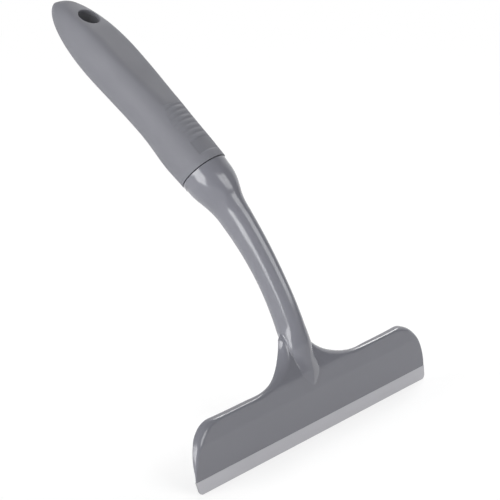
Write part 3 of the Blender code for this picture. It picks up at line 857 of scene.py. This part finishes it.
def makeGripSkin():
    fine = 0.3 * mm
    lip = grip["lipRound"]
    mouth = grip["mouthRun"]
    outer = [(mouth + lip * (1 - math.sin(angle)), lip * (1 - math.cos(angle)))
             for angle in (math.pi / 2, math.pi / 3, math.pi / 6, 0)]
    holeLow = hole["run"] - hole["radius"] - 2 * mm
    holeHigh = hole["run"] + hole["radius"] + 2 * mm
    runs = spread(mouth + lip + 0.5 * mm, ribs["patchStart"] - 0.5 * mm, 0.8 * mm)
    runs += spread(ribs["patchStart"], 161 * mm, fine)
    runs += spread(161.5 * mm, grip["tailRun"], 1.6 * mm)
    runs += spread(grip["tailRun"] + mm, holeLow - mm, 1.2 * mm)
    runs += spread(holeLow, holeHigh, fine * 1.2)
    past = [run for run in tailRuns(0, 60) if run > holeHigh + 0.4 * mm]
    outer += [(run, 0) for run in runs + past]
    wall = grip["skinWall"]
    inner = [(run, wall) for run in spread(mouth, grip["tailRun"], 6 * mm)]
    inner += [(run, wall) for run in tailRuns(wall, 16)]
    skin = makeShell("gripSkin", outer, inner, True)
    combine(skin, makeBoreTool("skinBore"), 'DIFFERENCE')
    smoothByAngle(skin, 50)
    points = readPoints(skin)
    run, ahead = alongHandle(points)
    # mask for the painted shade on the smooth patch below the ribs
    patch = skin.data.attributes.new("smoothPatch", 'FLOAT', 'POINT')
    patch.data.foreach_set("value", patchShare(run, points[:, 0]) * (ahead > 0))
    return skin


def makeGripCore():
    inset = grip["coreInset"]
    mouth = grip["mouthRun"]
    outer = [(run, inset) for run in spread(mouth, grip["tailRun"], 6 * mm)]
    outer += [(run, inset) for run in tailRuns(inset, 20)]
    cavity = grip["cavityInset"]
    low = grip["ledgeRun"] - grip["ledgeLength"] / 2
    high = grip["ledgeRun"] + grip["ledgeLength"] / 2
    ledge = float(gripRadius(np.array(grip["ledgeRun"]), 0)) - grip["ledgeRadius"]
    inner = [(run, cavity) for run in spread(mouth, low - 0.3 * mm, 6 * mm)]
    inner += [(low, ledge), (high, ledge)]
    inner += [(run, cavity) for run in spread(high + 0.3 * mm, grip["cavityEnd"], 6 * mm)]
    core = makeShell("gripCore", outer, inner, False)
    closeRims(core)
    combine(core, makeBoreTool("coreBore"), 'DIFFERENCE')
    smoothByAngle(core, 35)
    return core


def makeTang():
    # the hidden tang and spigot: a merged copy of the CAD solid, cut at the seam
    source = frame["nodes"]["head_and_arm"]
    copy = source.copy()
    copy.data = source.data.copy()
    copy.parent = None
    bpy.context.scene.collection.objects.link(copy)
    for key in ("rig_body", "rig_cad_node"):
        del copy[key]
    copy.name = "tang"
    centre, front, tangent = handleFrame(spine["seamRun"] + 0.1 * mm)
    editAll(copy)
    bpy.ops.mesh.remove_doubles(threshold=0.001 * mm)
    bpy.ops.mesh.bisect(plane_co=centre, plane_no=-tangent, clear_outer=True, use_fill=False)
    selectRim()
    bpy.ops.mesh.extrude_region_move(
        TRANSFORM_OT_translate={"value": -tangent * arm["spigotInset"]})
    bpy.ops.object.mode_set(mode='OBJECT')
    closeRims(copy)
    return copy


def roundSeamEdge(piece):
    # the cut end of the collar gets a small round, then its flat face
    centre, front, tangent = handleFrame(spine["seamRun"] - arm["lipRound"])
    cutOff(piece, centre, tangent, False)
    radius = arm["lipRound"]
    editAll(piece)
    before = 0.0
    for angle in (30, 60, 90):
        selectRim()
        bpy.ops.mesh.extrude_region_move(TRANSFORM_OT_translate={"value": (0, 0, 0)})
        turn = math.radians(angle)
        along = radius * (math.sin(turn) - math.sin(before))
        inward = radius * (math.cos(before) - math.cos(turn))

        def change(points):
            offset = points - np.array(centre)
            lift = offset @ np.array(tangent)
            flat = offset - lift[:, None] * np.array(tangent)
            length = np.linalg.norm(flat, axis=1)[:, None]
            return points + along * np.array(tangent) - flat / length * inward
        movedSelection(piece, change)
        before = turn
    bpy.ops.object.mode_set(mode='OBJECT')
    closeRims(piece)


def makeHeadAndArm():
    moulding = makeRoughPlate()
    combine(moulding, makeRoughArm(), 'UNION')
    applyModifier(moulding, 'REMESH', mode='VOXEL', voxel_size=arm["voxel"], adaptivity=0)
    moulding.name = "headAndArm"
    moulding.data.name = "headAndArm"
    print("moulding remeshed:", len(moulding.data.vertices), "points")
    applyModifier(moulding, 'SMOOTH', factor=0.5, iterations=3)
    points = settleOn(mouldingDistance, readPoints(moulding), 4)
    writePoints(moulding, snapToCrease(points))
    cutOff(moulding, (0, 0, head["bladeDrop"]), (0, 0, -1), True)
    roundSeamEdge(moulding)
    combine(moulding, makeTang(), 'UNION')
    tools = [makeGrooveTool()]
    for side in (-1, 1):
        for index in range(pocket["count"]):
            low = pocket["innerX"] + index * (pocket["width"] + pocket["ribWall"])
            tools.append(makePocketTool(side, low))
    combine(moulding, joinPieces(tools), 'DIFFERENCE')
    smoothByAngle(moulding, 32)
    shadeExactly(moulding)
    return moulding


def shadeExactly(piece):
    # where a corner lies on the moulded shape, it is shaded with that shape's own slope
    mesh = piece.data
    points = readPoints(piece)
    corner = np.empty(len(mesh.loops), dtype=np.int32)
    mesh.loops.foreach_get("vertex_index", corner)
    sides = np.empty(len(mesh.polygons), dtype=np.int32)
    mesh.polygons.foreach_get("loop_total", sides)
    middles = np.empty(len(mesh.polygons) * 3)
    mesh.polygons.foreach_get("center", middles)
    middles = middles.reshape(-1, 3)
    normals = np.empty(len(mesh.loops) * 3)
    mesh.corner_normals.foreach_get("vector", normals)
    normals = normals.reshape(-1, 3)

    value = mouldingDistance(points)
    exact = slopeOf(mouldingDistance, points, value)[corner]
    beyond = alongHandle(points)[0] < arm["creaseRun"]
    plate, keel = plateDistance(points), handleDistance(points)
    both = beyond & (np.abs(plate) < mm) & (np.abs(keel) < mm)
    onPlate = np.abs(plateDistance(middles)) < np.abs(handleDistance(middles))
    onPlate = np.repeat(onPlate, sides)
    spots = np.where(both[corner])[0]
    place = points[corner[spots]]
    bySide = np.where(onPlate[spots, None], slopeOf(plateDistance, place, plate[corner[spots]]),
                      slopeOf(handleDistance, place, keel[corner[spots]]))
    exact[spots] = bySide
    exact /= np.linalg.norm(exact, axis=1)[:, None]
    onShape = (np.abs(value[corner]) < 0.03 * mm) & ((normals * exact).sum(1) > 0.9)
    mesh.normals_split_custom_set(np.where(onShape[:, None], exact, normals).tolist())


def newMaterial(name):
    material = bpy.data.materials.new(name)
    material.use_nodes = True
    tree = material.node_tree
    return material, tree, tree.nodes["Principled BSDF"]


def addNode(tree, kind, inputs=None, **settings):
    node = tree.nodes.new(kind)
    for key, value in settings.items():
        setattr(node, key, value)
    for key, value in (inputs or {}).items():
        node.inputs[key].default_value = value
    return node


def makeFinish(look):
    # moulded surface: faint clouds in the colour, uneven gloss and a fine grain; where the look has a
    # patch colour, painted shade darkens the smooth patch
    material, tree, shader = newMaterial(look["name"])
    link = tree.links.new
    place = addNode(tree, 'ShaderNodeTexCoord')
    clouds = addNode(tree, 'ShaderNodeTexNoise', {'Scale': look["cloudScale"], 'Detail': 3.0})
    link(place.outputs['Object'], clouds.inputs['Vector'])
    tint = addNode(tree, 'ShaderNodeMix', data_type='RGBA')
    tint.inputs[6].default_value = (*look["dark"], 1)
    tint.inputs[7].default_value = (*look["light"], 1)
    link(clouds.outputs['Fac'], tint.inputs[0])
    colour = tint.outputs[2]
    # painted shade: the smooth patch below the ribs gets a darker colour in place of the shade it takes
    # in the light
    if "patch" in look:
        patch = addNode(tree, 'ShaderNodeAttribute', attribute_name="smoothPatch")
        patchShade = addNode(tree, 'ShaderNodeMix', data_type='RGBA')
        link(patch.outputs['Fac'], patchShade.inputs[0])
        link(colour, patchShade.inputs[6])
        patchShade.inputs[7].default_value = (*look["patch"], 1)
        colour = patchShade.outputs[2]
    link(colour, shader.inputs['Base Color'])
    smear = addNode(tree, 'ShaderNodeTexNoise', {'Scale': look["smearScale"], 'Detail': 4.0})
    link(place.outputs['Object'], smear.inputs['Vector'])
    gloss = addNode(tree, 'ShaderNodeMapRange',
                    {'From Min': 0.3, 'From Max': 0.7, 'To Min': look["roughness"][0],
                     'To Max': look["roughness"][1]})
    link(smear.outputs['Fac'], gloss.inputs['Value'])
    link(gloss.outputs['Result'], shader.inputs['Roughness'])
    grain = addNode(tree, 'ShaderNodeTexNoise', {'Scale': look["grainScale"], 'Detail': 2.0})
    link(place.outputs['Object'], grain.inputs['Vector'])
    wave = addNode(tree, 'ShaderNodeTexNoise', {'Scale': look["waveScale"], 'Detail': 1.0})
    link(place.outputs['Object'], wave.inputs['Vector'])
    fine = addNode(tree, 'ShaderNodeBump',
                   {'Strength': look["grainStrength"], 'Distance': look["grainHeight"]})
    link(grain.outputs['Fac'], fine.inputs['Height'])
    broad = addNode(tree, 'ShaderNodeBump',
                    {'Strength': look["waveStrength"], 'Distance': look["waveHeight"]})
    link(wave.outputs['Fac'], broad.inputs['Height'])
    link(fine.outputs['Normal'], broad.inputs['Normal'])
    link(broad.outputs['Normal'], shader.inputs['Normal'])
    shader.inputs['IOR'].default_value = look["ior"]
    shader.inputs['Specular IOR Level'].default_value = look["specular"]
    return material


glossPlastic = {
    "name": "glossPlastic",
    "dark": (0.142, 0.144, 0.164), "light": (0.152, 0.154, 0.176),
    "roughness": (0.14, 0.18), "ior": 1.5, "specular": 0.5,
    "cloudScale": 14.0, "smearScale": 45.0,
    "grainScale": 2600.0, "grainStrength": 0.1, "grainHeight": 0.000004,
    "waveScale": 60.0, "waveStrength": 0.05, "waveHeight": 0.0001,
}
softTouch = {
    "name": "softTouch",
    "dark": (0.138, 0.140, 0.156), "light": (0.150, 0.152, 0.170),
    # patch: painted shade, the darker colour of the smooth patch below the ribs
    "patch": (0.132, 0.134, 0.150),
    "roughness": (0.58, 0.68), "ior": 1.45, "specular": 0.35,
    "cloudScale": 20.0, "smearScale": 70.0,
    "grainScale": 3200.0, "grainStrength": 0.4, "grainHeight": 0.00002,
    "waveScale": 90.0, "waveStrength": 0.08, "waveHeight": 0.0002,
}
corePlastic = {
    "name": "corePlastic",
    "dark": (0.140, 0.142, 0.154), "light": (0.156, 0.158, 0.170),
    "roughness": (0.26, 0.34), "ior": 1.5, "specular": 0.5,
    "cloudScale": 40.0, "smearScale": 120.0,
    "grainScale": 2600.0, "grainStrength": 0.25, "grainHeight": 0.00001,
    "waveScale": 120.0, "waveStrength": 0.1, "waveHeight": 0.0001,
}
bladeRubber = {
    "name": "bladeRubber",
    "dark": (0.408, 0.406, 0.432), "light": (0.434, 0.432, 0.460),
    "roughness": (0.45, 0.55), "ior": 1.5, "specular": 0.45,
    "cloudScale": 25.0, "smearScale": 90.0,
    "grainScale": 2400.0, "grainStrength": 0.35, "grainHeight": 0.00002,
    "waveScale": 70.0, "waveStrength": 0.06, "waveHeight": 0.0002,
}


def dress(piece, look):
    piece.data.materials.clear()
    piece.data.materials.append(makeFinish(look))


headPiece = makeHeadAndArm()
dress(headPiece, glossPlastic)
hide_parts("head_and_arm")
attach(headPiece, "handle")
print("head and arm ready:", len(headPiece.data.polygons), "faces")

skinPiece = makeGripSkin()
dress(skinPiece, softTouch)
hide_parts("grip_skin")
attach(skinPiece, "handle")
print("grip skin ready:", len(skinPiece.data.polygons), "faces")

corePiece = makeGripCore()
dress(corePiece, corePlastic)
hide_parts("grip_core")
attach(corePiece, "handle")
print("grip core ready:", len(corePiece.data.polygons), "faces")

bladePiece = makeBlade()
dress(bladePiece, bladeRubber)
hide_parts("blade_lip", "blade_root")
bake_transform(bladePiece)
print("blade ready:", len(bladePiece.data.polygons), "faces")


studio = {
    "floorSize": 30.0,
    "floorColour": (0.94, 0.94, 0.94),
    "nearWhite": 0.66,
    "farWhite": 1.0,
    "near": 0.3,
    "far": 1.0,
    "ambient": 0.26,
    "backdropAway": 3.5,
    "backdropSize": (9.0, 4.5),
    "wallRadius": 14.0,
    "wallTall": 1.8,
}


def paleMaterial(name, fading):
    # pale matt surface that keeps shadows and shows as white to the camera, further out more
    material, tree, shader = newMaterial(name)
    link = tree.links.new
    shader.inputs['Base Color'].default_value = (*studio["floorColour"], 1)
    shader.inputs['Roughness'].default_value = 0.6
    shader.inputs['Specular IOR Level'].default_value = 0.2
    rays = addNode(tree, 'ShaderNodeLightPath')
    mirrored = addNode(tree, 'ShaderNodeMath', operation='MAXIMUM')
    link(rays.outputs['Is Camera Ray'], mirrored.inputs[0])
    link(rays.outputs['Is Glossy Ray'], mirrored.inputs[1])
    seen = addNode(tree, 'ShaderNodeMath', operation='MAXIMUM')
    link(mirrored.outputs[0], seen.inputs[0])
    link(rays.outputs['Is Transmission Ray'], seen.inputs[1])
    share = seen
    if fading:
        place = addNode(tree, 'ShaderNodeTexCoord')
        reach = addNode(tree, 'ShaderNodeVectorMath', operation='LENGTH')
        link(place.outputs['Object'], reach.inputs[0])
        fade = addNode(tree, 'ShaderNodeMapRange',
                       {'From Min': studio["near"], 'From Max': studio["far"],
                        'To Min': studio["nearWhite"], 'To Max': studio["farWhite"]},
                       interpolation_type='SMOOTHSTEP')
        link(reach.outputs['Value'], fade.inputs['Value'])
        share = addNode(tree, 'ShaderNodeMath', operation='MULTIPLY')
        link(seen.outputs[0], share.inputs[0])
        link(fade.outputs['Result'], share.inputs[1])
    white = addNode(tree, 'ShaderNodeEmission', {'Color': (1, 1, 1, 1), 'Strength': 1.0})
    mix = addNode(tree, 'ShaderNodeMixShader')
    link(share.outputs[0], mix.inputs[0])
    link(shader.outputs[0], mix.inputs[1])
    link(white.outputs[0], mix.inputs[2])
    link(mix.outputs[0], tree.nodes["Material Output"].inputs['Surface'])
    return material


def makeFloor():
    deselectAll()
    bpy.ops.mesh.primitive_plane_add(size=studio["floorSize"], location=(0, 0, -0.05 * mm))
    floor = startPiece("floor")
    placeInMesh(floor)
    floor.data.materials.append(paleMaterial("paleFloor", True))


def makeBackdrop():
    # stands upright behind the object, square to the camera's view
    away, (width, tall) = studio["backdropAway"], studio["backdropSize"]
    ahead = Vector((0.789, 0.614, 0)).normalized()
    deselectAll()
    bpy.ops.mesh.primitive_plane_add(size=1)
    backdrop = startPiece("backdrop")
    across = Vector((0, 0, 1)).cross(ahead)
    points = readPoints(backdrop)
    writePoints(backdrop, points[:, :1] * width * np.array(across)
                + (points[:, 1:2] + 0.5) * tall * np.array((0, 0, 1)) + away * np.array(ahead))
    backdrop.data.materials.append(paleMaterial("paleBackdrop", False))


def makeWall():
    # a low wall far round the floor, so that level views end on the pale background too
    tall = studio["wallTall"]
    deselectAll()
    bpy.ops.mesh.primitive_cylinder_add(vertices=96, radius=studio["wallRadius"], depth=tall,
                                        end_fill_type='NOTHING')
    wall = startPiece("wall")
    writePoints(wall, readPoints(wall) + np.array((0, 0, tall / 2)))
    wall.data.materials.append(paleMaterial("paleWall", False))


def makeWorld():
    world = bpy.data.worlds.new("studioAir")
    bpy.context.scene.world = world
    world.use_nodes = True
    air = world.node_tree.nodes["Background"]
    air.inputs['Color'].default_value = (1, 1, 1, 1)
    air.inputs['Strength'].default_value = studio["ambient"]


lamps = {
    "leftSoftbox": {"azimuth": -102, "height": 16, "size": (2.6, 1.7), "glow": 7.8},
    "frontLamp": {"azimuth": 2, "height": 38, "size": (2.0, 1.4), "glow": 4.9},
    "rightLamp": {"azimuth": 107, "height": 39, "size": (1.2, 0.8), "glow": 14.0},
}
lampAim = Vector((0, 0.1, 0.12))
lampAway = 3.0


def addLamp(name, lamp):
    # azimuth is counted from the side of the head's face, glow is the lamp's radiance
    turn, rise = math.radians(lamp["azimuth"]), math.radians(lamp["height"])
    towards = Vector((math.sin(turn) * math.cos(rise), -math.cos(turn) * math.cos(rise),
                      math.sin(rise)))
    deselectAll()
    bpy.ops.object.light_add(type='AREA', location=lampAim + towards * lampAway)
    light = bpy.context.object
    light.name = name
    light.data.shape = 'RECTANGLE'
    light.data.size, light.data.size_y = lamp["size"]
    light.data.energy = lamp["glow"] * math.pi * lamp["size"][0] * lamp["size"][1]
    light.rotation_euler = (-towards).to_track_quat('-Z', 'Y').to_euler()


makeFloor()
makeBackdrop()
makeWall()
makeWorld()
for lampName, lamp in lamps.items():
    addLamp(lampName, lamp)

cameraShape = {
    "place": (-1.16913, -0.85799, 0.62693),
    "right": (0.6142, -0.7890, 0.0),
    "up": (0.2614, 0.2035, 0.9435),
    "back": (-0.7445, -0.5795, 0.3313),
    "lens": 187.2,
}


def makeCamera():
    bpy.ops.object.camera_add()
    camera = bpy.context.object
    camera.name = "photoCamera"
    axes = [Vector(cameraShape[key]) for key in ("right", "up", "back")]
    turned = Matrix(axes).transposed().to_4x4()
    turned.translation = Vector(cameraShape["place"])
    camera.matrix_world = turned
    camera.data.lens = cameraShape["lens"]
    camera.data.sensor_width = 36
    camera.data.clip_start = 0.05
    bpy.context.scene.camera = camera


makeCamera()
bpy.context.scene.view_settings.view_transform = 'Standard'
